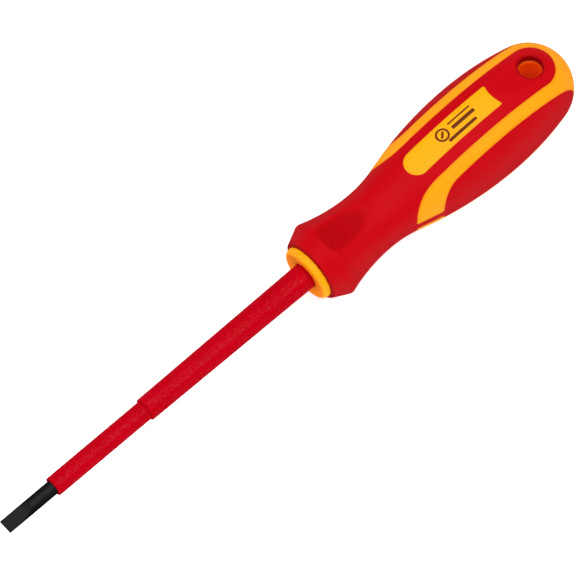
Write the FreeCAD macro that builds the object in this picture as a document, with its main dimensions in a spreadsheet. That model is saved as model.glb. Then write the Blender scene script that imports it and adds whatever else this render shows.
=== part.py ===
"""Insulated slotted screwdriver, in millimetres.

The tool lies along X with its tip at -X and its label face up (+Z). The origin is under the middle
of the tool's bounding box, on the surface that it lies on. Inside the sketches, x is measured along
the tool's axis from the front face of the collar, towards the butt, and y is the distance from the axis.
"""

import FreeCAD, Part
import math
import os

import Sketcher
from FreeCAD import Placement, Rotation, Vector

DIMENSIONS = {
    # blade
    "blade_exposed": 100.0,
    "shank_diameter": 3.9,
    "tip_thickness": 0.8,
    "tip_flat_length": 3.0,
    "grind_radius": 9.0,
    "blade_depth": 64.0,
    "wing_span": 6.4,
    "wing_thickness": 1.5,
    "wing_length": 9.0,
    # insulation sleeves
    "bare_length": 15.6,
    "front_sleeve_diameter": 5.32,
    "front_sleeve_depth": 12.0,
    "rear_sleeve_length": 54.0,
    "rear_sleeve_front_diameter": 6.35,
    "rear_sleeve_back_diameter": 7.18,
    "rear_sleeve_depth": 6.0,
    "sleeve_edge_round": 0.2,
    # collar ring
    "collar_length": 2.0,
    "collar_front_diameter": 15.0,
    "collar_back_diameter": 15.6,
    "collar_round": 0.5,
    # outline of the handle
    "handle_length": 90.5,
    "lip_diameter": 17.4,
    "guard_slope": 25.6,
    "guard_round": 1.2,
    "waist_offset": 22.7,
    "waist_diameter": 17.26,
    "waist_front_curve": 50.6,
    "waist_back_curve": 35.1,
    "belly_offset": 61.3,
    "belly_diameter": 27.76,
    "butt_curve": 11.95,
    # soft grip
    "grip_thickness": 1.9,
    "panel_width": 12.7,
    "panel_end_offset": 79.1,
    "stripe_outer_width": 18.8,
    "stripe_nose_offset": 30.3,
    "stripe_nose_radius": 10.5,
    "side_nose_offset": 38.0,
    "side_nose_radius": 10.0,
    "bridge_width": 2.4,
    # label land
    "label_offset": 35.5,
    "label_end_offset": 64.9,
    "label_width": 7.0,
    "label_end_radius": 8.0,
    # hanging hole and its dish
    "hole_offset": 78.85,
    "hole_diameter": 6.4,
    "dish_offset": 67.6,
    "dish_width": 7.0,
    "dish_depth": 1.0,
    "seat_width": 9.4,
    # thumb scoops and their ribs
    "scoop_offset": 17.0,
    "scoop_height": 7.9,
    "scoop_radius": 24.0,
    "rib_height": 0.25,
    "rib_start": 2.5,
    "rib_pitch": 0.85,
    "rib_width": 0.4,
    "rib_reach": 6.0,
    # cutting tools that only have to be larger than the handle
    "clearance": 40.0,
}

RIB_COUNT = 25
AXIS_Z = "Dimensions.belly_diameter / 2"
COLLAR_X = "(Dimensions.blade_exposed - Dimensions.handle_length) / 2"
ALONG_Y = Rotation(Vector(1, 0, 0), 90)

doc = FreeCAD.newDocument("InsulatedScrewdriver")


def make_sheet():
    """Put the driving dimensions in a spreadsheet, one aliased cell each."""
    table = doc.addObject("Spreadsheet::Sheet", "Dimensions")
    for row, (alias, size) in enumerate(DIMENSIONS.items(), start=1):
        table.set(f"A{row}", alias)
        table.set(f"B{row}", str(size))
        table.setAlias(f"B{row}", alias)
    doc.recompute()
    return table


sheet = make_sheet()


def dims(formula):
    """Write a formula's plain size names the way expressions name the sheet's cells."""
    words = formula.replace("(", " ( ").replace(")", " ) ").split()
    return " ".join(f"Dimensions.{word}" if word in DIMENSIONS else word for word in words)


def size(formula):
    """The number that a formula of size names comes to."""
    return float(sheet.evalExpression(dims(formula)))


def place(item, x="0", y="0", z="0", rotation=Rotation()):
    """Place an item by its distance from the middle of the collar's front face."""
    item.Placement = Placement(Vector(), rotation)
    item.setExpression("Placement.Base.x", f"{COLLAR_X} + ({dims(x)})")
    item.setExpression("Placement.Base.y", dims(y))
    item.setExpression("Placement.Base.z", f"{AXIS_Z} + ({dims(z)})")
    return item


# ---------------------------------------------------------------- sketches and bodies

def new_body(name):
    return place(doc.addObject("PartDesign::Body", name))


def origin_plane(body, role):
    return next(plane for plane in body.Origin.OriginFeatures if plane.Role == role)


def new_sketch(body, name, role="XZ_Plane"):
    sketch = body.newObject("Sketcher::SketchObject", name)
    sketch.AttachmentSupport = [(origin_plane(body, role), "")]
    sketch.MapMode = "FlatFace"
    return sketch


def constrain(sketch, kind, *where, formula=None):
    """Add a constraint, and bind its size to the sheet if it has one."""
    if formula is None:
        sketch.addConstraint(Sketcher.Constraint(kind, *where))
        return
    number = sketch.addConstraint(Sketcher.Constraint(kind, *where, size(formula)))
    sketch.setExpression(f"Constraints[{number}]", dims(formula))


def pin(sketch, line, end, x, y):
    """Fix one end of a line by its formulas for x and y."""
    constrain(sketch, "DistanceX", -1, 1, line, end, formula=x)
    constrain(sketch, "DistanceY", -1, 1, line, end, formula=y)


def polygon(body, name, corners, role="XZ_Plane"):
    """A closed sketch of straight lines through corners given as pairs of formulas."""
    sketch = new_sketch(body, name, role)
    points = [Vector(size(x), size(y), 0) for x, y in corners]
    following = points[1:] + points[:1]
    sketch.addGeometry([Part.LineSegment(a, b) for a, b in zip(points, following)])
    for line, (x, y) in enumerate(corners):
        constrain(sketch, "Coincident", line, 2, (line + 1) % len(corners), 1)
        pin(sketch, line, 1, x, y)
    return sketch


def revolve(body, sketch):
    """Turn a sketch about the tool's axis."""
    feature = body.newObject("PartDesign::Revolution", f"{sketch.Name}_revolved")
    feature.Profile = sketch
    feature.ReferenceAxis = (sketch, ["H_Axis"])
    feature.Angle = 360
    sketch.Visibility = False
    return feature


def arc_through(*points):
    return Part.ArcOfCircle(*[Vector(x, y, 0) for x, y in points])


def handle_outline(body, name, inset):
    """The handle's half outline, moved inwards by inset: cone, guard, waist, belly and round butt.

    It is drawn roughly at first, and its constraints then bring it to size.
    """
    sketch = new_sketch(body, name)
    shift = size(inset)
    foot = Vector(size("collar_length"), 0, 0)
    lip = Vector(foot.x, size("lip_diameter / 2") - shift, 0)
    butt = Vector(size("handle_length") - shift, 0, 0)
    guard_front = (6.5, 10.9 - shift)
    guard_back = (7.6, 10.9 - shift)
    waist = (size("waist_offset"), size("waist_diameter / 2") - shift)
    flare = (32.0, 9.9 - shift)
    belly = (size("belly_offset"), size("belly_diameter / 2") - shift)
    shoulder = (81.0, 11.7 - shift)
    sketch.addGeometry([
        Part.LineSegment(foot, lip),
        Part.LineSegment(lip, Vector(*guard_front, 0)),
        arc_through(guard_front, (7.05, 11.05 - shift), guard_back),
        arc_through(guard_back, (15.0, 9.25 - shift), waist),
        arc_through(waist, (27.5, 8.95 - shift), flare),
        arc_through(flare, (46.0, 12.8 - shift), belly),
        arc_through(belly, (71.3, 13.3 - shift), shoulder),
        arc_through(shoulder, (88.0 - shift, 7.2), (butt.x, 0.0)),
        Part.LineSegment(butt, foot),
    ])
    front, cone, guard, waist_front, waist_back, belly_front, belly_back, dome, base = range(9)
    # an arc's points are numbered counterclockwise, so the tip end of an outward arc is its point 2
    chain = [guard, waist_front, waist_back, belly_front, belly_back, dome]
    tip_end = dict(zip(chain, (2, 1, 1, 2, 2, 2)))
    butt_end = {arc: 3 - point for arc, point in tip_end.items()}
    constrain(sketch, "Coincident", front, 2, cone, 1)
    constrain(sketch, "Tangent", cone, 2, guard, tip_end[guard])
    for before, after in zip(chain, chain[1:]):
        constrain(sketch, "Tangent", before, butt_end[before], after, tip_end[after])
    constrain(sketch, "Coincident", dome, butt_end[dome], base, 1)
    constrain(sketch, "Coincident", base, 2, front, 1)
    constrain(sketch, "PointOnObject", dome, 3, -1)
    constrain(sketch, "PointOnObject", base, 1, -1)
    constrain(sketch, "PointOnObject", base, 2, -1)
    constrain(sketch, "Vertical", front)
    constrain(sketch, "Vertical", waist_back, tip_end[waist_back], waist_back, 3)
    constrain(sketch, "Vertical", belly_back, tip_end[belly_back], belly_back, 3)
    pin(sketch, cone, 1, "collar_length", f"lip_diameter / 2 - {inset}")
    pin(sketch, waist_back, tip_end[waist_back], "waist_offset", f"waist_diameter / 2 - {inset}")
    pin(sketch, belly_back, tip_end[belly_back], "belly_offset", f"belly_diameter / 2 - {inset}")
    constrain(sketch, "DistanceX", -1, 1, base, 1, formula=f"handle_length - {inset}")
    constrain(sketch, "Angle", cone, formula="guard_slope")
    constrain(sketch, "Radius", guard, formula="guard_round")
    constrain(sketch, "Radius", waist_front, formula=f"waist_front_curve + {inset}")
    constrain(sketch, "Radius", waist_back, formula=f"waist_back_curve + {inset}")
    constrain(sketch, "Radius", dome, formula=f"butt_curve - {inset}")
    return sketch


def round_edges(body, base, radius, wanted):
    """Round the edges of a feature that the test picks."""
    doc.recompute()
    names = [f"Edge{number}" for number, edge in enumerate(base.Shape.Edges, start=1) if wanted(edge)]
    fillet = body.newObject("PartDesign::Fillet", f"{base.Name}_rounded")
    fillet.Base = (base, names)
    fillet.setExpression("Radius", dims(radius))
    return fillet


def is_ring_at(x, radius=0.0):
    """A test for a whole circle round the axis, at x and wider than radius."""
    def test(edge):
        curve = edge.Curve
        if not isinstance(curve, Part.Circle):
            return False
        return abs(curve.Center.x - x) < 0.001 and curve.Radius > radius
    return test


# ---------------------------------------------------------------- primitives and booleans

def primitive(kind, name, sizes, **where):
    """A Part primitive whose properties and place are formulas."""
    item = doc.addObject(f"Part::{kind}", name)
    for prop, formula in sizes.items():
        item.setExpression(prop, dims(formula))
    return place(item, **where)


def box(name, length, width, height, **where):
    return primitive("Box", name, {"Length": length, "Width": width, "Height": height}, **where)


def cylinder(name, radius, height, **where):
    return primitive("Cylinder", name, {"Radius": radius, "Height": height}, **where)


def fuse(name, *items):
    union = doc.addObject("Part::MultiFuse", name)
    union.Shapes = list(items)
    return union


def common(name, *items):
    overlap = doc.addObject("Part::MultiCommon", name)
    overlap.Shapes = list(items)
    return overlap


def cut(name, base, *tools):
    """Take the tools out of the base, one after the other."""
    for number, tool in enumerate(tools, start=1):
        result = doc.addObject("Part::Cut", f"{name}_{number}")
        result.Base = base
        result.Tool = tool
        base = result
    return base


# ---------------------------------------------------------------- blade and its insulation

def make_blade():
    """A round shank, pressed into two wings inside the handle and ground hollow to a flat tip."""
    body = new_body("blade")
    shank_profile = polygon(body, "shank", [
        ("0 - blade_exposed", "0"),
        ("0 - blade_exposed", "shank_diameter / 2"),
        ("blade_depth", "shank_diameter / 2"),
        ("blade_depth", "0"),
    ])
    revolve(body, shank_profile)
    wings = polygon(body, "wings", [
        ("blade_depth - 2 * wing_length", "0 - wing_span / 2"),
        ("blade_depth - 2 * wing_length", "wing_span / 2"),
        ("blade_depth - wing_length", "wing_span / 2"),
        ("blade_depth - wing_length", "0 - wing_span / 2"),
    ])
    pad = body.newObject("PartDesign::Pad", "wings_pressed")
    pad.Profile = wings
    pad.SideType = "Symmetric"
    pad.setExpression("Length", dims("wing_thickness"))
    doc.recompute()
    before = body.Shape.Volume
    grind = body.newObject("PartDesign::Pocket", "tip_ground")
    grind.Profile = grind_outline(body)
    grind.SideType = "Symmetric"
    grind.Type = "ThroughAll"
    doc.recompute()
    other_side = body.newObject("PartDesign::Mirrored", "tip_ground_below")
    other_side.Originals = [grind]
    other_side.MirrorPlane = (origin_plane(body, "XY_Plane"), [""])
    body.Tip = other_side
    doc.recompute()
    if body.Shape.Volume > before - 1.0:
        raise RuntimeError("the blade's tip was not ground")
    return body


def grind_outline(body):
    """What the grinding wheel takes off above the tip: a flat, then the wheel's own curve."""
    sketch = new_sketch(body, "grind")
    half = size("tip_thickness / 2")
    wheel = size("grind_radius")
    flat_end = size("tip_flat_length - blade_exposed")
    reach = Vector(flat_end + wheel, half + wheel, 0)
    hub = Vector(flat_end, half + wheel, 0)
    corner = Vector(size("0 - blade_exposed - 1"), half, 0)
    sketch.addGeometry([
        Part.LineSegment(corner, Vector(flat_end, half, 0)),
        Part.ArcOfCircle(Part.Circle(hub, Vector(0, 0, 1), wheel), -math.pi / 2, 0.0),
        Part.LineSegment(reach, Vector(corner.x, reach.y, 0)),
        Part.LineSegment(Vector(corner.x, reach.y, 0), corner),
    ])
    flat, curve, top, side = range(4)
    constrain(sketch, "Tangent", flat, 2, curve, 1)
    constrain(sketch, "Coincident", curve, 2, top, 1)
    constrain(sketch, "Coincident", top, 2, side, 1)
    constrain(sketch, "Coincident", side, 2, flat, 1)
    constrain(sketch, "Horizontal", flat)
    constrain(sketch, "Horizontal", top)
    constrain(sketch, "Vertical", side)
    constrain(sketch, "Horizontal", curve, 3, curve, 2)
    constrain(sketch, "Radius", curve, formula="grind_radius")
    pin(sketch, flat, 1, "0 - blade_exposed - 1", "tip_thickness / 2")
    constrain(sketch, "DistanceX", -1, 1, curve, 3, formula="tip_flat_length - blade_exposed")
    return sketch


def make_front_sleeve():
    """The thin tube pushed on the shank, from the bare steel into the handle."""
    body = new_body("front_insulation_sleeve")
    section = polygon(body, "front_sleeve_section", [
        ("bare_length - blade_exposed", "shank_diameter / 2"),
        ("bare_length - blade_exposed", "front_sleeve_diameter / 2"),
        ("front_sleeve_depth", "front_sleeve_diameter / 2"),
        ("front_sleeve_depth", "shank_diameter / 2"),
    ])
    tube = revolve(body, section)
    mouth = is_ring_at(size("bare_length - blade_exposed"), size("shank_diameter / 2"))
    round_edges(body, tube, "sleeve_edge_round", mouth)
    return body


def make_rear_sleeve():
    """The thick tube moulded over the thin one, a little wider towards the handle."""
    body = new_body("rear_insulation_sleeve")
    growth = "( rear_sleeve_back_diameter - rear_sleeve_front_diameter ) / 2 / rear_sleeve_length"
    section = polygon(body, "rear_sleeve_section", [
        ("0 - rear_sleeve_length", "front_sleeve_diameter / 2"),
        ("0 - rear_sleeve_length", "rear_sleeve_front_diameter / 2"),
        ("rear_sleeve_depth", f"rear_sleeve_back_diameter / 2 + {growth} * rear_sleeve_depth"),
        ("rear_sleeve_depth", "front_sleeve_diameter / 2"),
    ])
    tube = revolve(body, section)
    step = is_ring_at(size("0 - rear_sleeve_length"), size("front_sleeve_diameter / 2"))
    round_edges(body, tube, "sleeve_edge_round", step)
    return body


# ---------------------------------------------------------------- regions of the handle

def revolved_handle(name, inset):
    """The whole handle behind the collar ring, as a solid that is inset below its surface."""
    body = new_body(name)
    revolve(body, handle_outline(body, f"{name}_outline", inset))
    return body


def upright_slot(name, width, start, end):
    """A slot seen from above, with a round end at each side: it goes right through the handle."""
    straight = box(f"{name}_straight", f"{end} - ({start})", width, "clearance",
                   x=start, y=f"0 - {width} / 2", z="0 - clearance / 2")
    ends = [
        cylinder(f"{name}_{side}_end", f"{width} / 2", "clearance", x=where, z="0 - clearance / 2")
        for side, where in (("tip", start), ("butt", end))
    ]
    return fuse(name, straight, *ends)


def round_nosed_zone(name, offset, radius):
    """Everything behind a nose that is round when it is seen from the side."""
    nose = cylinder(f"{name}_nose", radius, "clearance", rotation=ALONG_Y,
                    x=f"{offset} + {radius}", y="clearance / 2")
    rest = box(f"{name}_rest", "handle_length", "clearance", "clearance",
               x=f"{offset} + {radius}", y="0 - clearance / 2", z="0 - clearance / 2")
    return fuse(name, nose, rest)


def panel_zone():
    """The front and back grip panels: straight sides that start at the neck, and a round end."""
    return upright_slot("panel_zone", "panel_width", "waist_offset", "panel_end_offset")


def side_zone():
    """The side grip panels, and the narrow bridges that join them to the neck."""
    gap = box("side_gap", "2 * handle_length", "stripe_outer_width", "clearance",
              y="0 - stripe_outer_width / 2", z="0 - clearance / 2")
    outline = round_nosed_zone("side_outline", "side_nose_offset", "side_nose_radius")
    panels = cut("side_panels", outline, gap)
    bridges = box("side_bridges", "side_nose_offset + side_nose_radius / 2", "clearance", "bridge_width",
                  y="0 - clearance / 2", z="0 - bridge_width / 2")
    return fuse("side_zone", panels, bridges)


def label_zone():
    """The label land: round towards the guard and hollowed towards the hanging hole."""
    outline = upright_slot("label_outline", "label_width",
                           "label_offset + label_width / 2", "label_end_offset")
    hollow = cylinder("label_hollow", "label_end_radius", "clearance",
                      x="label_end_offset + label_end_radius", z="0 - clearance / 2")
    return cut("label_zone", outline, hollow)


def scoop(name, height, sign, *standing):
    """A round thumb scoop across the neck, straight from side to side, but not what is left standing."""
    wheel = cylinder(name, f"scoop_radius - {height}", "clearance", rotation=ALONG_Y,
                     x="scoop_offset", y="clearance / 2", z=f"{sign} * ( scoop_height + scoop_radius )")
    return cut(f"{name}_cutter", wheel, *standing)


def scoop_ribs():
    """A row of upright plates, slanting at 45 degrees across the thumb scoops."""
    body = new_body("scoop_ribs")
    sketch = polygon(body, "rib", role="XY_Plane", corners=[
        ("rib_start - rib_reach", "0 - rib_reach"),
        ("rib_start - rib_reach + rib_width", "0 - rib_reach"),
        ("rib_start + rib_reach + rib_width", "rib_reach"),
        ("rib_start + rib_reach", "rib_reach"),
    ])
    rib = body.newObject("PartDesign::Pad", "rib_plate")
    rib.Profile = sketch
    rib.SideType = "Symmetric"
    rib.setExpression("Length", dims("clearance"))
    row = body.newObject("PartDesign::LinearPattern", "rib_row")
    row.Originals = [rib]
    row.Direction = (sketch, ["H_Axis"])
    row.Occurrences = RIB_COUNT
    row.setExpression("Length", dims(f"{RIB_COUNT - 1} * rib_pitch"))
    body.Tip = row
    return body


def recess(name, zone, depth):
    """The zone's part of the handle down to a depth below its surface, as a cutting tool."""
    return cut(name, zone, revolved_handle(f"{name}_floor", depth))


# ---------------------------------------------------------------- handle

def make_collar():
    """The ring that stands out of the grip in front of the guard."""
    body = new_body("collar_ring")
    section = polygon(body, "collar_section", [
        ("0", "0"),
        ("0", "collar_front_diameter / 2"),
        ("collar_length", "collar_back_diameter / 2"),
        ("collar_length", "0"),
    ])
    ring = revolve(body, section)
    round_edges(body, ring, "collar_round", is_ring_at(0.0))
    return body


def hanging_hole():
    """The hole through the butt, and the dish and the deeper seat in front of it."""
    hole = cylinder("hanging_hole", "hole_diameter / 2", "clearance",
                    x="hole_offset", z="0 - clearance / 2")
    ends = ("dish_offset + dish_width / 2", "hole_offset")
    dish = recess("dish", upright_slot("dish_zone", "dish_width", *ends), "dish_depth")
    seat_zone = upright_slot("seat_zone", "seat_width", *ends)
    seat = recess("dish_seat", seat_zone, "grip_thickness + dish_depth")
    return hole, dish, seat


def thumb_scoops():
    """The cutters of both thumb scoops: the scoop itself, then the deeper grooves between its ribs."""
    ribs = scoop_ribs()
    cutters = []
    for side, sign in (("front", "1"), ("back", "-1")):
        cutters.append(scoop(f"{side}_scoop", "rib_height", sign))
        cutters.append(scoop(f"{side}_grooves", "0", sign, ribs))
    return cutters


def make_handle(blade, front_sleeve, rear_sleeve):
    """The hard core, moulded round the blade, and the soft grip, moulded over the core."""
    surface = revolved_handle("handle_surface", "0")
    hole, dish, seat = hanging_hole()
    stripe_outline = round_nosed_zone("stripe_outline", "stripe_nose_offset", "stripe_nose_radius")
    stripe_blank = common("stripe_blank", surface, stripe_outline)
    stripes = cut("stripes", stripe_blank, panel_zone(), side_zone())
    labels = common("labels", surface, label_zone())
    under_grip = cut("under_grip", revolved_handle("core", "grip_thickness"), seat)
    blank = fuse("core_blank", under_grip, stripes, labels, make_collar())
    handle_core = cut("handle_core", blank, hole, blade, front_sleeve, rear_sleeve)
    soft_grip = cut("soft_grip", surface, blank, rear_sleeve, hole, dish, *thumb_scoops())
    return handle_core, soft_grip


# ---------------------------------------------------------------- the whole tool

def check_objects():
    """Stop if any object of the document failed to recompute."""
    broken = [item.Label for item in doc.Objects if {"Invalid", "Error"} & set(item.State)]
    if broken:
        raise RuntimeError(f"objects failed to recompute: {broken}")


def write_nodes(nodes):
    """Write each sub-part's shape to its own STEP file, once all are known to be sound."""
    for label, item in nodes.items():
        item.Label = label
        if item.Shape.isNull() or not item.Shape.isValid():
            raise RuntimeError(f"{label} has no valid shape")
    os.makedirs("parts", exist_ok=True)
    for label, item in nodes.items():
        item.Shape.exportStep(f"parts/{label}.step")
        print(f"{label}: {len(item.Shape.Solids)} solid, {item.Shape.Volume:.1f} mm3")


blade = make_blade()
front_sleeve = make_front_sleeve()
rear_sleeve = make_rear_sleeve()
handle_core, soft_grip = make_handle(blade, front_sleeve, rear_sleeve)
doc.recompute()
check_objects()
write_nodes({
    "blade": blade,
    "front_insulation_sleeve": front_sleeve,
    "rear_insulation_sleeve": rear_sleeve,
    "handle_core": handle_core,
    "soft_grip": soft_grip,
})
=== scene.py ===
import math

import bpy
import numpy as np
from mathutils import Matrix, Vector


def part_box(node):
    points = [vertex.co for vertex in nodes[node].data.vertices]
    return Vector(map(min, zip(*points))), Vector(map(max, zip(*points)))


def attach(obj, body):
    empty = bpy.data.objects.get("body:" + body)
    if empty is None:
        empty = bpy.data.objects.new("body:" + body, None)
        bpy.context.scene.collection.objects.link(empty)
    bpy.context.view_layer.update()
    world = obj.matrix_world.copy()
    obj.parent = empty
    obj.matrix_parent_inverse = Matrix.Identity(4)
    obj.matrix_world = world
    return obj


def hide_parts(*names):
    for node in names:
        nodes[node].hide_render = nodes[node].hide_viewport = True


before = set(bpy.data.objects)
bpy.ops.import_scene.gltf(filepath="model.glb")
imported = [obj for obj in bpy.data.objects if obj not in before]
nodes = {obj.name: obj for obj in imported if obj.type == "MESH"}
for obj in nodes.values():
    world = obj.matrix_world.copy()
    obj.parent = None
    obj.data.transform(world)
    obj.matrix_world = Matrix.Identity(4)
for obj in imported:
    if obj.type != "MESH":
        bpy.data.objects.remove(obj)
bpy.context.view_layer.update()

MM = 0.001


# ---------------------------------------------------------------- materials

def linear(value):
    return value / 12.92 if value <= 0.04045 else ((value + 0.055) / 1.055) ** 2.4


def srgb(*values):
    """Linear colour, with an alpha of 1, from 8-bit display values of red, green and blue."""
    return tuple(linear(value / 255) for value in values) + (1.0,)


class Paint:
    """One procedural material under construction."""

    def __init__(self, name):
        self.material = bpy.data.materials.new(name)
        self.material.use_nodes = True
        self.tree = self.material.node_tree
        self.tree.nodes.clear()
        self.shader = self.node("ShaderNodeBsdfPrincipled")
        output = self.node("ShaderNodeOutputMaterial")
        self.link(self.shader.outputs["BSDF"], output.inputs["Surface"])
        self.place = self.node("ShaderNodeTexCoord").outputs["Object"]

    def node(self, kind, **settings):
        made = self.tree.nodes.new(kind)
        for key, value in settings.items():
            if key in made.inputs:
                made.inputs[key].default_value = value
            else:
                setattr(made, key, value)
        return made

    def link(self, start, end):
        self.tree.links.new(start, end)

    def noise(self, scale, detail=3.0, roughness=0.5):
        """A noise pattern whose scale is given in features per millimetre."""
        made = self.node("ShaderNodeTexNoise")
        made.inputs["Scale"].default_value = scale / MM
        made.inputs["Detail"].default_value = detail
        made.inputs["Roughness"].default_value = roughness
        self.link(self.place, made.inputs["Vector"])
        return made.outputs["Fac"]

    def tone(self):
        """The tone that each point of the handle's meshes carries: how yellow the lands are, and painted
        shade in the scoops' grooves, on rounded edges at the seams, on the collar's face and in the hole.
        """
        return self.node("ShaderNodeAttribute", attribute_name="tone").outputs["Fac"]

    def ramp(self, value, *stops):
        """Colours along a value, from stops that are pairs of a position and a colour."""
        made = self.node("ShaderNodeValToRGB")
        elements = made.color_ramp.elements
        while len(elements) < len(stops):
            elements.new(0.5)
        for element, (position, colour) in zip(elements, stops):
            element.position = position
            element.color = colour
        self.link(value, made.inputs["Fac"])
        return made.outputs["Color"]

    def spread(self, value, low, high, start=0.0, end=1.0):
        """The value's range from start to end, moved to the range from low to high."""
        made = self.node("ShaderNodeMapRange")
        made.inputs["From Min"].default_value = start
        made.inputs["From Max"].default_value = end
        made.inputs["To Min"].default_value = low
        made.inputs["To Max"].default_value = high
        self.link(value, made.inputs["Value"])
        return made.outputs["Result"]

    def product(self, first, second):
        made = self.node("ShaderNodeMath", operation="MULTIPLY")
        self.link(first, made.inputs[0])
        self.link(second, made.inputs[1])
        return made.outputs["Value"]

    def bump(self, height, distance, strength=1.0):
        """Small relief, whose distance is given in millimetres."""
        made = self.node("ShaderNodeBump")
        made.inputs["Strength"].default_value = strength
        made.inputs["Distance"].default_value = distance * MM
        self.link(height, made.inputs["Height"])
        return made.outputs["Normal"]

    def finish(self, colour=None, roughness=None, normal=None, **constants):
        """The material, with its inputs linked and the rest set to the constants."""
        for name, source in (("Base Color", colour), ("Roughness", roughness), ("Normal", normal)):
            if source is not None:
                self.link(source, self.shader.inputs[name])
        for name, value in constants.items():
            self.shader.inputs[name.replace("_", " ")].default_value = value
        return self.material


def grip_material():
    """Matte red with a fine grain, with painted shade in the grooves of the thumb scoops and on the grip's
    rounded edges.
    """
    paint = Paint("soft_touch_red")
    tone = paint.tone()
    grain = paint.noise(5.0, 2.0)
    shade = paint.spread(paint.noise(0.06, 2.0), 0.8, 1.0)
    # The darkest red is painted shade: the tone is low in the scoops' grooves and on the grip's rounded
    # edges.
    colour = paint.ramp(paint.product(tone, shade), (0.0, srgb(160, 0, 9)), (0.75, srgb(179, 0, 11)),
                        (1.0, srgb(187, 0, 14)))
    roughness = paint.spread(grain, 0.4, 0.54)
    return paint.finish(colour, roughness, paint.bump(grain, 0.006, 0.5), Specular_IOR_Level=0.05)


def core_material():
    """Yellow on the labels; more orange close to the red grip, which is painted shade and red light from
    the grip; and deep orange inside the hanging hole, which is painted shade and red light reflected from
    the grip.

    The hole's wall also has a faint painted glow, standing in for light that comes through the plastic."""
    paint = Paint("moulded_yellow")
    tone = paint.tone()
    grain = paint.noise(4.0, 2.0)
    # The low end of the ramp is painted shade: deep orange for the hole's wall, and orange for the seams
    # and the collar's face.
    colour = paint.ramp(tone, (0.0, srgb(240, 88, 2)), (0.3, srgb(250, 136, 10)), (0.5, srgb(254, 156, 12)),
                        (0.9, srgb(255, 165, 6)))
    roughness = paint.spread(grain, 0.36, 0.48)
    # A painted glow on the hole's wall, where the tone is lowest.
    paint.link(paint.spread(tone, 0.11, 0.0, 0.0, 0.12), paint.shader.inputs["Emission Strength"])
    return paint.finish(colour, roughness, paint.bump(grain, 0.003, 0.4), Specular_IOR_Level=0.1,
                        Emission_Color=srgb(206, 66, 0), Subsurface_Weight=0.35,
                        Subsurface_Radius=(1.0, 0.35, 0.08), Subsurface_Scale=3 * MM)


def ink_material():
    paint = Paint("brown_ink")
    grain = paint.noise(6.0, 2.0)
    colour = paint.ramp(grain, (0.3, srgb(92, 38, 6)), (0.7, srgb(112, 50, 8)))
    return paint.finish(colour, paint.spread(grain, 0.4, 0.55), Specular_IOR_Level=0.15)


def sleeve_material(name, low, high):
    """Red plastic with a fine grain, of which only the tops shine."""
    paint = Paint(name)
    grain = paint.noise(2.1, 3.0, 0.7)
    clouds = paint.noise(0.15, 2.0)
    colour = paint.ramp(clouds, (0.3, low), (0.7, high))
    paint.link(paint.spread(grain, 0.0, 0.17, 0.46, 0.75), paint.shader.inputs["Specular IOR Level"])
    return paint.finish(colour, paint.spread(grain, 0.24, 0.36), paint.bump(grain, 0.015, 1.0))


def blade_material():
    paint = Paint("black_oxide")
    grain = paint.noise(6.0, 4.0, 0.6)
    clouds = paint.noise(0.35, 3.0)
    colour = paint.ramp(clouds, (0.3, srgb(14, 14, 13)), (0.7, srgb(20, 19, 20)))
    roughness = paint.spread(grain, 0.42, 0.62)
    return paint.finish(colour, roughness, paint.bump(grain, 0.012, 0.6), Metallic=0.15,
                        Specular_IOR_Level=0.24)


def floor_material():
    paint = Paint("pale_floor")
    colour = paint.ramp(paint.noise(0.01, 2.0), (0.0, srgb(236, 236, 236)), (1.0, srgb(240, 240, 240)))
    return paint.finish(colour, Roughness=0.9, Specular_IOR_Level=0.1,
                        Emission_Color=(1, 1, 1, 1), Emission_Strength=0.6)


def paint_object(item, material):
    item.data.materials.clear()
    item.data.materials.append(material)


# ---------------------------------------------------------------- stage

TILT, ROLL, TURN = math.radians(16), math.radians(19.9), math.radians(40)
LENS, SENSOR = 247.25, 36
AIM_RIGHT, AIM_UP = 0.00412, 0.00296
FLOOR_HALF = 3.0
WORLD_LEVEL, WORLD_IN_REFLECTIONS = 0.52, 0.05
core_low, core_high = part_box("handle_core")
COLLAR = Vector((core_low.x, (core_low.y + core_high.y) / 2, (core_low.z + core_high.z) / 2))


def make_camera():
    """A long lens a metre away, above the label face and a little towards the tip and the near side."""
    toward = Vector((-math.sin(TILT), -math.cos(TILT) * math.sin(ROLL), math.cos(TILT) * math.cos(ROLL)))
    along = Vector((math.cos(TILT), -math.sin(TILT) * math.sin(ROLL), math.sin(TILT) * math.cos(ROLL)))
    across = along.cross(toward)
    right = math.cos(TURN) * along + math.sin(TURN) * across
    up = math.sin(TURN) * along - math.cos(TURN) * across
    data = bpy.data.cameras.new("camera")
    data.lens = LENS
    data.sensor_width = SENSOR
    data.clip_end = 10
    camera = bpy.data.objects.new("camera", data)
    bpy.context.scene.collection.objects.link(camera)
    position = COLLAR + toward - right * AIM_RIGHT - up * AIM_UP
    turned = Matrix((right, up, toward)).transposed().to_4x4()
    camera.matrix_world = Matrix.Translation(position) @ turned
    bpy.context.scene.camera = camera


def make_floor():
    """A plain pale floor, which glows a little so that no shadow shows, and is not seen in reflections."""
    data = bpy.data.meshes.new("floor")
    corners = [(x * FLOOR_HALF, y * FLOOR_HALF, 0) for x, y in ((-1, -1), (1, -1), (1, 1), (-1, 1))]
    data.from_pydata(corners, [], [(0, 1, 2, 3)])
    floor = bpy.data.objects.new("floor", data)
    bpy.context.scene.collection.objects.link(floor)
    paint_object(floor, floor_material())
    floor.visible_glossy = False


def area_light(name, position, size, power, sheen):
    """A soft square lamp that points at the middle of the tool."""
    data = bpy.data.lights.new(name, "AREA")
    data.energy = power
    data.size = size
    data.specular_factor = sheen
    light = bpy.data.objects.new(name, data)
    bpy.context.scene.collection.objects.link(light)
    light.rotation_euler = (-Vector(position)).to_track_quat("-Z", "Y").to_euler()
    light.location = position


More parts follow.
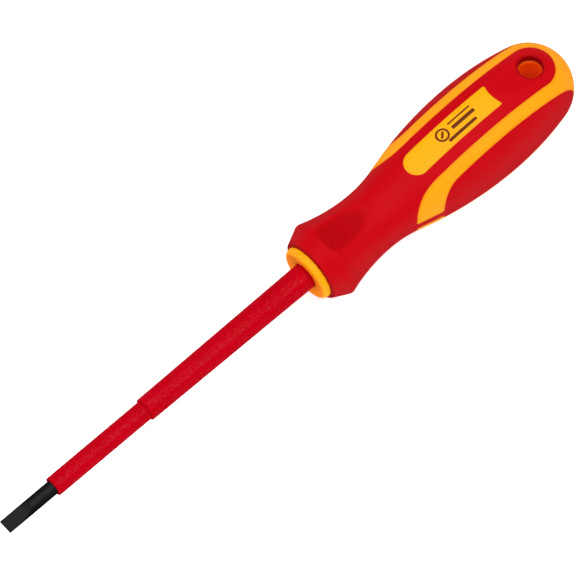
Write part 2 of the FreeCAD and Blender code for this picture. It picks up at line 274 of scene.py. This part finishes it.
def make_light():
    """An even white tent that reflections hardly show, a lamp overhead, and two lamps for the sheen."""
    world = bpy.data.worlds.new("studio")
    bpy.context.scene.world = world
    world.use_nodes = True
    tree = world.node_tree
    path = tree.nodes.new("ShaderNodeLightPath")
    level = tree.nodes.new("ShaderNodeMapRange")
    level.inputs["To Min"].default_value = WORLD_LEVEL
    level.inputs["To Max"].default_value = WORLD_IN_REFLECTIONS
    tree.links.new(path.outputs["Is Glossy Ray"], level.inputs["Value"])
    tree.links.new(level.outputs["Result"], tree.nodes["Background"].inputs["Strength"])
    tree.nodes["Background"].inputs["Color"].default_value = (1, 1, 1, 1)
    area_light("overhead", (0.0, -0.05, 1.1), 1.2, 9.5, 0.0)
    area_light("key", (0.25, -0.55, 0.8), 0.35, 1.5, 1.0)
    area_light("fill", (-0.55, 0.1, 0.9), 0.35, 1.5, 1.0)
    bpy.context.scene.view_settings.view_transform = "Standard"


# ---------------------------------------------------------------- the handle's surface
# Sizes are in millimetres: x runs along the axis from the collar's front, y across, and z to the label.

LIP_X, LIP_RADIUS, GUARD_SLOPE, GUARD_ROUND = 2.0, 8.7, math.radians(25.6), 1.2
WAIST_X, WAIST_RADIUS, WAIST_FRONT, WAIST_BACK = 22.7, 8.63, 50.6, 35.1
BELLY_X, BELLY_RADIUS = 61.3, 13.88
BUTT_X, DOME_RADIUS = 90.5, 11.95
DOME_X = BUTT_X - DOME_RADIUS
POLE_GAP, INSET = 0.3, 0.01
PANEL_END, PANEL_HALF = 79.1, 6.35
STRIPE_NOSE, STRIPE_NOSE_RADIUS, STRIPE_HALF = 30.3, 10.5, 9.4
SIDE_NOSE, SIDE_NOSE_RADIUS = 38.0, 10.0
BRIDGE_HALF, BRIDGE_END = 1.2, 43.0
LABEL_START, LABEL_HALF, LABEL_END, LABEL_END_RADIUS = 35.5, 3.5, 64.9, 8.0
CORNER, NOSE_CORNER, SIDE_CORNER = 0.6, 3.0, 2.0
HOLE_X, HOLE_RADIUS = 78.85, 3.2
DISH_START, DISH_RADIUS, DISH_SHALLOW, DISH_DEEPER = 71.1, 3.5, 0.25, 0.5
FACE_HEIGHT = 6.0
SCOOP_X, SCOOP_FLOOR, SCOOP_RADIUS, SCOOP_REACH, SCOOP_END = 17.0, 7.9, 24.0, 14.0, 26.0
RIB_START, RIB_PITCH, RIB_HEIGHT = 2.7, 0.85, 0.3
GRIP_THICKNESS, SEAT_DEPTH, THINNEST = 1.95, 0.6, 0.1
EDGE_ROUND, LIP_ROUND, RIM_ROUND, WIDEST_ROUND = 0.06, 0.4, 0.8, 1.5
RING_COUNT = 4
# The seam, hole and collar-face tones are painted shade: orange where the core meets the grip, deep orange
# with a glow in the hole, and darker orange on the collar's face.
SEAM_SHADE_TONE, HOLE_SHADE_TONE, COLLAR_TONE, COLLAR_FACE_SHADE_TONE = 0.28, 0.0, 0.8, 0.3
FILM_TOP, FILM_BOTTOM = 0.012, -0.03
COLLAR_SIDE = (
    (2.0, 7.72), (1.7, 7.79), (1.2, 7.7), (0.8, 7.6), (0.5, 7.42), (0.25, 7.17),
)
COLLAR_FACE_AND_BORE = (
    (0.08, 6.86), (0.01, 6.5), (0.03, 6.1), (0.12, 5.4), (0.25, 4.6), (0.36, 3.9), (0.45, 3.64),
    (6.0, 3.64), (6.0, 2.66), (12.0, 2.66), (12.0, 1.95), (38.0, 1.95), (64.0, 1.95), (64.0, 0.4),
)


def low_step(value, start, end):
    """0 before start, 1 after end, and smooth between them."""
    share = np.clip((value - start) / (end - start), 0, 1)
    return share * share * (3 - 2 * share)


def soft_max(first, second, width):
    overlap = np.maximum(width - np.abs(first - second), 0)
    return np.maximum(first, second) + overlap ** 2 / (4 * width)


def soft_min(first, second, width):
    return -soft_max(-first, -second, width)


def guard_centre():
    """The centre of the guard's rounding, which touches the cone and the waist's first arc."""
    slope = np.array([math.cos(GUARD_SLOPE), math.sin(GUARD_SLOPE)])
    waist = np.array([WAIST_X, WAIST_RADIUS + WAIST_FRONT])
    start = np.array([LIP_X + GUARD_ROUND * slope[1], LIP_RADIUS - GUARD_ROUND * slope[0]])
    offset = start - waist
    reach = offset @ slope
    run = -reach - math.sqrt(reach ** 2 - offset @ offset + (GUARD_ROUND + WAIST_FRONT) ** 2)
    return start + run * slope


def outline_arcs():
    """The arcs behind the guard's cone, each smooth with the next.

    Each is its two ends along the axis, its centre, its radius, and 1 if it bulges out or -1 if in.
    """
    guard_x, guard_r = guard_centre()
    guard_start = guard_x - GUARD_ROUND * math.sin(GUARD_SLOPE)
    guard_end = guard_x + GUARD_ROUND * (WAIST_X - guard_x) / (GUARD_ROUND + WAIST_FRONT)
    front_run, back_run = BELLY_X - WAIST_X, DOME_X - BELLY_X
    rise = WAIST_RADIUS + WAIST_BACK - BELLY_RADIUS
    front = (front_run ** 2 + rise ** 2 - WAIST_BACK ** 2) / (2 * (WAIST_BACK - rise))
    back = (back_run ** 2 + BELLY_RADIUS ** 2 - DOME_RADIUS ** 2) / (2 * (BELLY_RADIUS - DOME_RADIUS))
    flare_x = WAIST_X + front_run * WAIST_BACK / (WAIST_BACK + front)
    shoulder_x = BELLY_X + back_run * back / (back - DOME_RADIUS)
    return (
        (guard_start, guard_end, guard_x, guard_r, GUARD_ROUND, 1),
        (guard_end, WAIST_X, WAIST_X, WAIST_RADIUS + WAIST_FRONT, WAIST_FRONT, -1),
        (WAIST_X, flare_x, WAIST_X, WAIST_RADIUS + WAIST_BACK, WAIST_BACK, -1),
        (flare_x, BELLY_X, BELLY_X, BELLY_RADIUS - front, front, 1),
        (BELLY_X, shoulder_x, BELLY_X, BELLY_RADIUS - back, back, 1),
    )


def make_outline():
    """Length along the handle's outline, and the position and radius at each, closely spaced."""
    arcs = outline_arcs()
    shoulder_x = arcs[-1][1]
    x = np.arange(LIP_X, shoulder_x, 0.01)
    radius = LIP_RADIUS + (x - LIP_X) * math.tan(GUARD_SLOPE)
    for start, end, centre_x, centre_r, bend, side in arcs:
        here = (x >= start) & (x <= end)
        radius[here] = centre_r + side * np.sqrt(bend ** 2 - (x[here] - centre_x) ** 2)
    last = math.asin(POLE_GAP / DOME_RADIUS)
    turn = np.linspace(math.acos((shoulder_x - DOME_X) / DOME_RADIUS), last, 2000)
    x = np.concatenate([x, DOME_X + DOME_RADIUS * np.cos(turn)])
    radius = np.concatenate([radius, DOME_RADIUS * np.sin(turn)])
    length = np.concatenate([[0], np.cumsum(np.hypot(np.diff(x), np.diff(radius)))])
    return length, x, radius - INSET


LENGTH, OUTLINE_X, OUTLINE_R = make_outline()


def along(station):
    return np.interp(station, LENGTH, OUTLINE_X), np.interp(station, LENGTH, OUTLINE_R)


def base(station, angle):
    """Points of the smooth handle: the angle is measured from the label side."""
    x, radius = along(station)
    return x, radius * np.sin(angle), radius * np.cos(angle)


def hole_gap(x, y):
    return np.hypot(x - HOLE_X, y) - HOLE_RADIUS


def behind_nose(x, z, start, radius):
    """Below 0 behind a nose that is round when it is seen from the side."""
    return start + radius - np.sqrt(np.maximum(radius ** 2 - z ** 2, 0)) - x


def border(station, angle):
    """About how far a point is from the soft grip's border.

    It is above 0 on the grip, and below 0 on a land or in the hole.
    """
    x, y, z = base(station, angle)
    stripe = behind_nose(x, z, STRIPE_NOSE, STRIPE_NOSE_RADIUS)
    panel = np.hypot(np.maximum(x - PANEL_END, 0), y) - PANEL_HALF
    side_nose = behind_nose(x, z, SIDE_NOSE, SIDE_NOSE_RADIUS)
    sides = soft_max(STRIPE_HALF - np.abs(y), side_nose, SIDE_CORNER)
    bridge = np.maximum(np.abs(z) - BRIDGE_HALF, x - BRIDGE_END)
    lands = soft_max(np.maximum(stripe, -soft_min(sides, bridge, CORNER)), -panel, NOSE_CORNER)
    hollow_x = LABEL_END + LABEL_END_RADIUS
    hollow = np.maximum(LABEL_END_RADIUS - np.hypot(x - hollow_x, y), x - hollow_x)
    label = np.hypot(np.minimum(x - LABEL_START - LABEL_HALF, 0), y) - LABEL_HALF
    return np.minimum(np.minimum(lands, soft_max(label, hollow, CORNER)), hole_gap(x, y))


def border_slope(station, angle):
    """The border function's slope along the outline and round the axis, and the radius there."""
    step = 0.01
    radius = along(station)[1]
    lengthwise = (border(station + step, angle) - border(station - step, angle)) / (2 * step)
    turn = step / radius
    round_it = (border(station, angle + turn) - border(station, angle - turn)) / (2 * step)
    return lengthwise, round_it, radius


def dish_gap(x, y, radius):
    return np.hypot(x - np.clip(x, DISH_START, HOLE_X), y) - radius


def rib_share(x, y):
    """1 on top of a thumb scoop's slanting ribs, and 0 between them."""
    return 0.5 + 0.5 * np.cos(2 * np.pi * (x - y - RIB_START) / RIB_PITCH)


def outer(station, angle):
    """Points of the finished surface, with the thumb scoops, their ribs and the hole's dish."""
    x, y, z = base(station, angle)
    side, height = np.sign(z), np.abs(z)
    reach = SCOOP_RADIUS - RIB_HEIGHT * rib_share(x, y)
    from_scoop = np.clip(x - SCOOP_X, -SCOOP_REACH, SCOOP_REACH)
    floor = SCOOP_FLOOR + SCOOP_RADIUS - np.sqrt(reach ** 2 - from_scoop ** 2)
    height = np.where(x < SCOOP_END, soft_min(height, floor, 0.3), height)
    depth = (DISH_SHALLOW + DISH_DEEPER * low_step(x, 68.5, 74.5)) * (1 - low_step(x, 76.5, 80.0))
    in_dish = 1 - low_step(dish_gap(x, y, DISH_RADIUS), -1.5, 0.4)
    height = height - depth * in_dish * (height > FACE_HEIGHT)
    return np.stack([x, y, side * height], -1)


def inner(station, angle):
    """Points where the grip ends and the core goes on under it, straight below the surface at the hole."""
    x, radius = along(station)
    y, z = radius * np.sin(angle), radius * np.cos(angle)
    on_face = np.abs(z) > FACE_HEIGHT
    seat = (1 - low_step(dish_gap(x, y, DISH_RADIUS), 0.3, 1.6)) * on_face
    deep = np.maximum(radius - GRIP_THICKNESS - SEAT_DEPTH * seat, THINNEST)
    shrink = deep / np.maximum(radius, THINNEST)
    near_hole = (1 - low_step(np.hypot(x - HOLE_X, y), 4.0, 7.0)) * on_face
    y_in = y * (near_hole + (1 - near_hole) * shrink)
    return np.stack([x, y_in, np.sign(z) * np.sqrt(np.maximum(deep ** 2 - y_in ** 2, 0))], -1)


def spaced(start, end, spacing):
    """Values from start to end, apart by what spacing says at each."""
    fine = np.linspace(start, end, 20001)
    count = np.concatenate([[0], np.cumsum(np.diff(fine) / spacing(fine[:-1]))])
    return np.interp(np.linspace(0, count[-1], int(count[-1]) + 1), count, fine)


def row_spacing(station):
    x = along(station)[0]
    fine = 0.2 + 0.25 * low_step(x, 23, 26) - 0.12 * low_step(x, 64, 67) + 0.12 * low_step(x, 83, 86)
    return fine + 0.2 * (1 - low_step(x, 3.5, 5))


def column_spacing(angle):
    return np.radians(1.2 + 1.6 * low_step(np.abs(np.degrees(angle)), 30, 42))


class Skin:
    """The handle's surface as a grid of quads, cut along the border of the soft grip."""

    def __init__(self):
        rows = spaced(0, LENGTH[-1], row_spacing)
        quarter = spaced(0, math.pi / 2, column_spacing)
        half = np.concatenate([quarter, math.pi - quarter[-2::-1]])
        columns = np.concatenate([half, math.pi + half[1:-1]])
        self.row_count, self.column_count = len(rows), len(columns)
        station, angle = np.meshgrid(rows, columns, indexing="ij")
        self.snap(station, angle)
        self.cut()

    def snap(self, station, angle):
        """Move the grid points that are close to the border on to it."""
        lengthwise, round_it, radius = border_slope(station, angle)
        gap = np.abs(border(station, angle)) / np.maximum(np.hypot(lengthwise, round_it), 0.2)
        wide = np.abs(np.gradient(angle, axis=1)) * radius
        tall = np.abs(np.gradient(station, axis=0))
        near = gap < 0.3 * np.minimum(wide, tall)
        for _ in range(4):
            lengthwise, round_it, radius = border_slope(station, angle)
            push = border(station, angle) / np.maximum(lengthwise ** 2 + round_it ** 2, 0.04)
            station = np.where(near, station - push * lengthwise, station)
            angle = np.where(near, angle - push * round_it / radius, angle)
        self.sign = np.where(near, 0, np.sign(border(station, angle))).astype(int)
        self.station, self.angle = station, angle

    def crossings(self, mask, first, second, first_angle, second_angle):
        """Points where the border crosses the grid edges that the mask picks, found by halving."""
        run, turn = (second - first)[mask], (second_angle - first_angle)[mask]
        first, first_angle = first[mask], first_angle[mask]
        low, high = np.zeros(len(first)), np.ones(len(first))
        start = border(first, first_angle)
        for _ in range(25):
            middle = (low + high) / 2
            value = border(first + run * middle, first_angle + turn * middle)
            same = value * start > 0
            low, high = np.where(same, middle, low), np.where(same, high, middle)
        return first + run * low, first_angle + turn * low

    def cut(self):
        """Number the grid points, and then the points where the border crosses the grid."""
        count = self.row_count * self.column_count
        self.numbers = np.arange(count).reshape(self.row_count, self.column_count)
        next_angle = np.roll(self.angle, -1, 1)
        next_angle[:, -1] += 2 * math.pi
        next_station = np.roll(self.station, -1, 1)
        stations, angles = [self.station.ravel()], [self.angle.ravel()]
        numbered = []
        around = (self.station, next_station, self.angle, next_angle)
        lengthwise = (self.station[:-1], self.station[1:], self.angle[:-1], self.angle[1:])
        for mask, ends in (
            (self.sign * np.roll(self.sign, -1, 1) < 0, around),
            (self.sign[:-1] * self.sign[1:] < 0, lengthwise),
        ):
            found = self.crossings(mask, *ends)
            stations.append(found[0])
            angles.append(found[1])
            numbers = np.full(mask.shape, -1)
            numbers[mask] = count + np.arange(mask.sum())
            numbered.append(numbers)
            count += mask.sum()
        self.across, self.down = numbered
        self.stations, self.angles = np.concatenate(stations), np.concatenate(angles)
        self.collect()

    def collect(self):
        """Sort the cells into polygons of the grip and of the lands."""
        n, a, d = self.numbers, self.across, self.down
        beside = np.roll(n, -1, 1)
        corners = np.stack([n[:-1], n[1:], beside[1:], beside[:-1]], -1).reshape(-1, 4)
        edges = np.stack([d, a[1:], np.roll(d, -1, 1), a[:-1]], -1).reshape(-1, 4)
        signs = self.sign.ravel()[corners]
        low, high = signs.min(1), signs.max(1)
        grip = [tuple(c) for c in corners[(low >= 0) & (high > 0)].tolist()]
        lands = [tuple(c) for c in corners[(high <= 0) & (low < 0)].tolist()]
        mixed = (low < 0) & (high > 0)
        for cell, sides, marks in zip(*(values[mixed].tolist() for values in (corners, edges, signs))):
            ring = []
            for corner, side, mark in zip(cell, sides, marks):
                ring.append((corner, mark))
                if side >= 0:
                    ring.append((side, 0))
            grip.append(tuple(v for v, mark in ring if mark >= 0))
            lands.append(tuple(v for v, mark in ring if mark <= 0))
        flat = (low == 0) & (high == 0)
        for cell in corners[flat].tolist():
            middle = border(self.stations[cell].mean(), self.angles[cell].mean())
            (grip if middle > 0 else lands).append(tuple(cell))
        x, y, _ = base(self.stations, self.angles)
        gap = hole_gap(x, y)
        self.on_hole = np.abs(gap) < 0.02
        self.grip = [p for p in grip if len(p) > 2]
        self.lands = [p for p in lands if len(p) > 2 and gap[list(p)].mean() > 0]

    def surface(self, sign):
        """Points of the grip's or the lands' face, moved back from the border by the edge's rounding."""
        station, angle = self.stations.copy(), self.angles.copy()
        lengthwise, round_it, radius = border_slope(station, angle)
        steep = np.maximum(np.hypot(lengthwise, round_it), 0.2)
        gap = np.abs(border(station, angle)) / steep
        x, y, _ = base(station, angle)
        rounding = self.rounding(x, y)
        back = rounding * np.clip(1 - gap / np.minimum(3 * rounding, WIDEST_ROUND), 0, 1) * sign
        station = station + back * lengthwise / steep
        angle = angle + back * round_it / steep / np.maximum(radius, 0.1)
        if sign > 0:
            station = station + LIP_ROUND * np.clip(1 - station / (3 * LIP_ROUND), 0, 1)
        return outer(station, angle), np.minimum(gap, 5.0)

    def groove_painted_shade(self):
        """Painted shade for the thumb scoops: 1 at the bottom of a scoop's grooves, and 0 on its ribs and
        away from the scoops.
        """
        x, y, z = base(self.stations, self.angles)
        depth = np.abs(z) - np.abs(outer(self.stations, self.angles)[:, 2])
        return (1 - rib_share(x, y)) * low_step(depth, 0.3, 0.8) * (x < SCOOP_END)

    def tones(self, gap):
        """How yellow the lands are: most on the labels, less on the stripes and butt, and least at a
        border, where the orange is painted shade and red light from the grip.
        """
        x, y, _ = base(self.stations, self.angles)
        label = (1 - low_step(np.abs(y), 3.6, 5.5)) * (1 - low_step(x, 66, 70))
        # The tone drops near a border, as painted orange shade along the seams.
        return 0.3 + 0.2 * low_step(gap, 0, 0.8) + 0.4 * label - 0.05 * low_step(x, 72, 88)

    def rounding(self, x, y):
        """How round the edge is: slightly at the seams, and most at the hole."""
        return EDGE_ROUND + (RIM_ROUND - EDGE_ROUND) * (1 - low_step(hole_gap(x, y), 1.45, 1.55))


class Shell:
    """Vertices and faces of one piece, collected as they are made."""

    def __init__(self):
        self.points, self.tones, self.faces, self.count = [], [], [], 0

    def add(self, points, tones=0.0):
        points = np.asarray(points, float).reshape(-1, 3)
        self.points.append(points)
        self.tones.append(np.broadcast_to(tones, len(points)))
        self.count += len(points)
        return self.count - len(points)

    def bridge(self, edges, rings):
        """Quads between rings, each of which gives a vertex number for every point of the edges."""
        for upper, lower in zip(rings, rings[1:]):
            for u, v in edges:
                self.faces.append((upper[v], upper[u], lower[u], lower[v]))


def open_edges(polygons):
    """The edges of a patch that belong to one polygon only, in its direction."""
    edges = {(u, v) for p in polygons for u, v in zip(p, p[1:] + p[:1])}
    return [(u, v) for u, v in edges if (v, u) not in edges]


def edge_rings(shell, skin, edges, face, start, tone=0.0):
    """The rounded edge below a patch's border, as rings of vertex numbers."""
    ids = sorted({u for edge in edges for u in edge})
    station, angle = skin.stations[ids], skin.angles[ids]
    corner, foot = outer(station, angle), inner(station, angle)
    depth = np.linalg.norm(corner - foot, axis=1)[:, None]
    x, y, _ = base(station, angle)
    rounding = np.where(station < 1e-6, LIP_ROUND, skin.rounding(x, y))[:, None]
    below = (foot - corner) / depth * rounding
    rings = [{u: start + u for u in ids}]
    for turn in np.linspace(0, math.pi / 2, RING_COUNT + 1)[1:]:
        points = corner + (face[ids] - corner) * (1 - math.sin(turn)) + below * (1 - math.cos(turn))
        first = shell.add(points, tone)
        rings.append({u: first + k for k, u in enumerate(ids)})
    return rings


def turned_rings(shell, profile, angles, tone):
    """Rings of points round the axis, one for each position and radius of the profile."""
    rings = []
    for x, radius in profile:
        first = shell.add([(x, radius * math.sin(a), radius * math.cos(a)) for a in angles], tone)
        rings.append({k: first + k for k in range(len(angles))})
    return rings


def build(shell, name, node, material):
    """Make the piece's object from its shell, leaving out the points that no face uses."""
    points, tones = np.concatenate(shell.points), np.concatenate(shell.tones)
    used = np.zeros(len(points), bool)
    used[[v for face in shell.faces for v in face]] = True
    renumber = np.cumsum(used) - 1
    faces = [tuple(renumber[list(face)].tolist()) for face in shell.faces]
    data = bpy.data.meshes.new(name)
    data.from_pydata((points[used] * MM + np.array(COLLAR)).tolist(), [], faces)
    data.attributes.new("tone", "FLOAT", "POINT").data.foreach_set("value", tones[used].astype(np.float32))
    data.shade_smooth()
    item = bpy.data.objects.new(name, data)
    bpy.context.scene.collection.objects.link(item)
    paint_object(item, material)
    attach(item, "root")
    if node:
        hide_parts(node)
    return item


def make_grip(skin, material):
    """The soft grip: the cut surface, its rounded edges, and its inside against the core."""
    shell = Shell()
    face, _ = skin.surface(1)
    # The tone is lowered in the scoops' grooves, as painted shade.
    top = shell.add(face, 1 - skin.groove_painted_shade())
    bottom = shell.add(inner(skin.stations, skin.angles))
    edges = open_edges(skin.grip)
    # These edge rings keep a tone of 0, so the grip's rounded edges at the seams, the lip and the hole's
    # rim get the darkest red, as painted shade.
    rings = edge_rings(shell, skin, edges, face, top)
    rings.append({u: bottom + u for u in rings[0]})
    shell.bridge(edges, rings)
    shell.faces += [tuple(top + v for v in p) for p in skin.grip]
    shell.faces += [tuple(bottom + v for v in reversed(p)) for p in skin.grip]
    return build(shell, "grip_moulding", "soft_grip", material)


def make_core(skin, material):
    """The hard core: the lands with their rounded edges, and what the grip covers."""
    shell = Shell()
    face, gap = skin.surface(-1)
    top = shell.add(face, skin.tones(gap))
    bottom = shell.add(inner(skin.stations, skin.angles))
    edges = open_edges(skin.lands)
    pole_row = set(skin.numbers[-1].tolist())
    border_edges = [(u, v) for u, v in edges if not (u in pole_row and v in pole_row)]
    # The lands' rounded edges carry a low tone: painted orange shade along the seams.
    rings = edge_rings(shell, skin, border_edges, face, top, SEAM_SHADE_TONE)
    rings.append({u: bottom + u for u in rings[0]})
    shell.bridge(border_edges, rings)
    shell.faces += [tuple(top + v for v in p) for p in skin.lands]
    shell.faces += [tuple(bottom + v for v in p) for p in skin.grip]
    pole = shell.add([(DOME_X + DOME_RADIUS - INSET, 0, 0)], skin.tones(gap)[-1])
    last = skin.numbers[-1].tolist()
    shell.faces += [(top + u, pole, top + v) for u, v in zip(last, last[1:] + last[:1])]
    add_hole_wall(shell, skin, bottom)
    add_front(shell, skin, bottom)
    return build(shell, "core_moulding", "handle_core", material)


def add_hole_wall(shell, skin, bottom):
    """The wall of the hanging hole in the core, from one side of the handle to the other."""
    places = inner(skin.stations, skin.angles)
    on_top = skin.on_hole & (places[:, 2] > 0)
    edges = [(u, v) for u, v in open_edges(skin.grip) if on_top[u] and on_top[v]]
    upper = sorted({u for edge in edges for u in edge})
    below = [int(k) for k in np.nonzero(skin.on_hole & (places[:, 2] < 0))[0]]
    partner = {}
    for u in upper:
        mirrored = places[u] * (1, 1, -1)
        partner[u] = below[int(np.argmin([np.abs(places[k] - mirrored).sum() for k in below]))]
    rings = [{u: bottom + u for u in upper}]
    for share in (0.1, 0.3, 0.5, 0.7, 0.9):
        # The wall carries the hole's tone: painted deep orange shade and a painted glow.
        first = shell.add([places[u] * (1, 1, 1 - 2 * share) for u in upper], HOLE_SHADE_TONE)
        rings.append({u: first + k for k, u in enumerate(upper)})
    rings.append({u: bottom + partner[u] for u in upper})
    shell.bridge(edges, rings)


def add_front(shell, skin, bottom):
    """The collar ring and the stepped bore for the sleeves and the blade."""
    first = skin.numbers[0].tolist()
    angles = skin.angles[first]
    rings = [{k: bottom + u for k, u in enumerate(first)}]
    rings += turned_rings(shell, COLLAR_SIDE, angles, COLLAR_TONE)
    # The collar's face and bore carry a low tone: painted darker orange shade.
    rings += turned_rings(shell, COLLAR_FACE_AND_BORE, angles, COLLAR_FACE_SHADE_TONE)
    count = len(first)
    edges = [(k, (k + 1) % count) for k in range(count)]
    shell.bridge([(v, u) for u, v in edges], rings)
    centre = shell.add([(COLLAR_FACE_AND_BORE[-1][0], 0, 0)])
    shell.faces += [(rings[-1][u], rings[-1][v], centre) for u, v in edges]


def add_film(shell, rows, closed=True):
    """A strip of ink between two rows of places on the label side, with a top, a bottom and edges."""
    levels = []
    for lift in (FILM_TOP, FILM_BOTTOM):
        for row in rows:
            points = []
            for x, y in row:
                radius = float(np.interp(x, OUTLINE_X, OUTLINE_R))
                points.append((x, y, math.sqrt(radius ** 2 - y ** 2) + lift))
            levels.append(shell.add(points))
    count = len(rows[0])
    inner_top, outer_top, inner_low, outer_low = levels
    loop = [inner_top, inner_low, outer_low, outer_top, inner_top]
    last = count if closed else count - 1
    for upper, lower in zip(loop, loop[1:]):
        for k in range(last):
            j = (k + 1) % count
            shell.faces.append((lower + k, lower + j, upper + j, upper + k))
    if not closed:
        shell.faces.append((outer_top, outer_low, inner_low, inner_top))
        k = count - 1
        shell.faces.append((inner_top + k, inner_low + k, outer_low + k, outer_top + k))


def bar_sides(x, y, length, width, slant):
    """The two long sides of a bar on the label."""
    ends = np.linspace(-length / 2, length / 2, 25)
    turn, lean = math.cos(slant), math.sin(slant)
    return [[(x + e * turn - w * lean, y + e * lean + w * turn) for e in ends]
            for w in (-width / 2, width / 2)]


def make_mark(material):
    """A generic printed mark on the front label: a slotted screw head and three plain bars."""
    shell = Shell()
    around = np.linspace(0, 2 * math.pi, 73)[:-1]
    head_x, head_y = 48.3, 0.5
    ring = [[(head_x + r * math.cos(a), head_y + r * math.sin(a)) for a in around] for r in (1.35, 1.9)]
    add_film(shell, ring)
    for bar in (
        (head_x, head_y, 2.0, 0.6, math.radians(45)),
        (55.0, 1.75, 7.6, 0.45, 0),
        (55.2, 0.15, 7.6, 1.0, 0),
        (53.2, -1.95, 9.4, 0.8, 0),
    ):
        add_film(shell, bar_sides(*bar), closed=False)
    return build(shell, "printed_mark", None, material)


# ---------------------------------------------------------------- the tool

skin = Skin()
make_grip(skin, grip_material())
make_core(skin, core_material())
make_mark(ink_material())
sleeve_red = sleeve_material("grained_red", srgb(172, 0, 16), srgb(180, 0, 22))
paint_object(nodes["rear_insulation_sleeve"], sleeve_red)
paint_object(nodes["front_insulation_sleeve"], sleeve_red)
paint_object(nodes["blade"], blade_material())
make_camera()
make_floor()
make_light()

bpy.context.view_layer.update()
